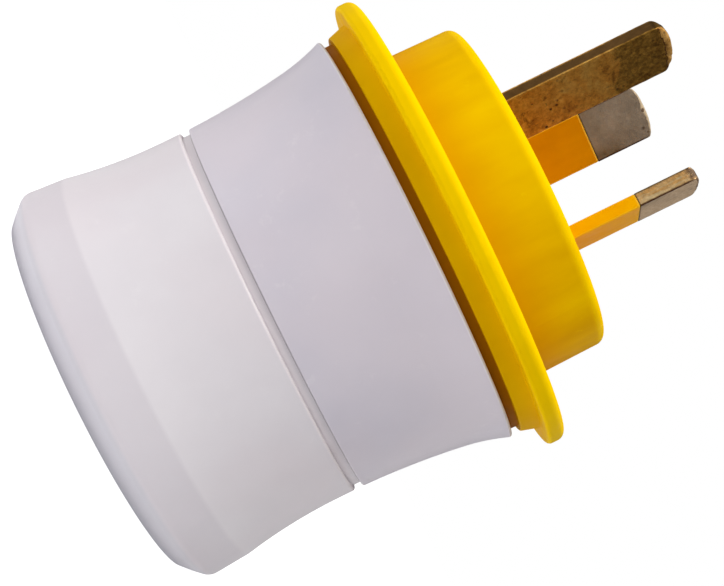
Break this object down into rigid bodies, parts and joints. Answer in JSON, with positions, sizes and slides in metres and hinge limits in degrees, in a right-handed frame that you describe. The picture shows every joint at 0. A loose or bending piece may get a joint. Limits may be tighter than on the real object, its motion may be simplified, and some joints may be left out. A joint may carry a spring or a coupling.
{
  "type": "travel adapter",
  "caption": "Round travel adapter: an earthed recessed socket with a turning shutter in a white waisted body, and a yellow flanged plug head with flat pins.",
  "frame": {"origin": "middle of the socket's rim plane, which is the lowest plane of the part", "axes": "+Z along the body from the socket to the plug pins; the earth pin lies towards -Y and the live pin towards +X"},
  "size_m": [0.0542, 0.0542, 0.0733],
  "materials": {
    "white_body": "satin moulded white",
    "yellow_head": "glossy moulded yellow",
    "socket_floor": "satin moulded white",
    "shutter_plastic": "smooth low-friction moulding",
    "insulator": "matte moulded off-white",
    "steel_pin": "ground steel",
    "spring_steel": "blued spring steel",
    "zinc_screw": "zinc plated",
    "contact_brass": "stamped brass",
    "rivet_brass": "pressed brass",
    "earth_clip_metal": "nickel plated spring bronze",
    "bare_pin": "tarnished bare brass",
    "plated_pin": "nickel plated, worn at the edges",
    "pin_sleeve": "smooth orange yellow insulation"
  },
  "bodies": {
    "housing": {"front_shell": "white_body", "rear_shell": "white_body", "plug_base": "yellow_head", "socket_plate": "socket_floor", "shutter_pin": "steel_pin", "shutter_spring": "spring_steel", "shutter_cover": "insulator", "contact_carrier": "insulator", "carrier_screws": "zinc_screw", "live_contact": "contact_brass", "neutral_contact": "contact_brass", "live_clamp_spring": "spring_steel", "neutral_clamp_spring": "spring_steel", "live_strap": "contact_brass", "neutral_strap": "contact_brass", "contact_rivets": "rivet_brass", "earth_bracket": "earth_clip_metal", "earth_strap": "contact_brass", "earth_rivet": "rivet_brass", "live_blade": "plated_pin", "neutral_blade": "plated_pin", "earth_blade": "bare_pin", "live_sleeve": "pin_sleeve", "neutral_sleeve": "pin_sleeve", "blade_rivets": "rivet_brass", "blade_retainer": "insulator", "retainer_screws": "zinc_screw", "assembly_screws": "zinc_screw"},
    "shutter": {"shutter_rotor": "shutter_plastic"}
  },
  "joints": [
    {"name": "shutter_turn", "type": "hinge", "parent": "housing", "child": "shutter", "pos_m": [0, 0, 0.0214], "axis": [0, 0, 1], "range_deg": [0, 36], "stiffness_Nm_per_rad": 0.001, "springref_deg": -20.05}
  ]
}
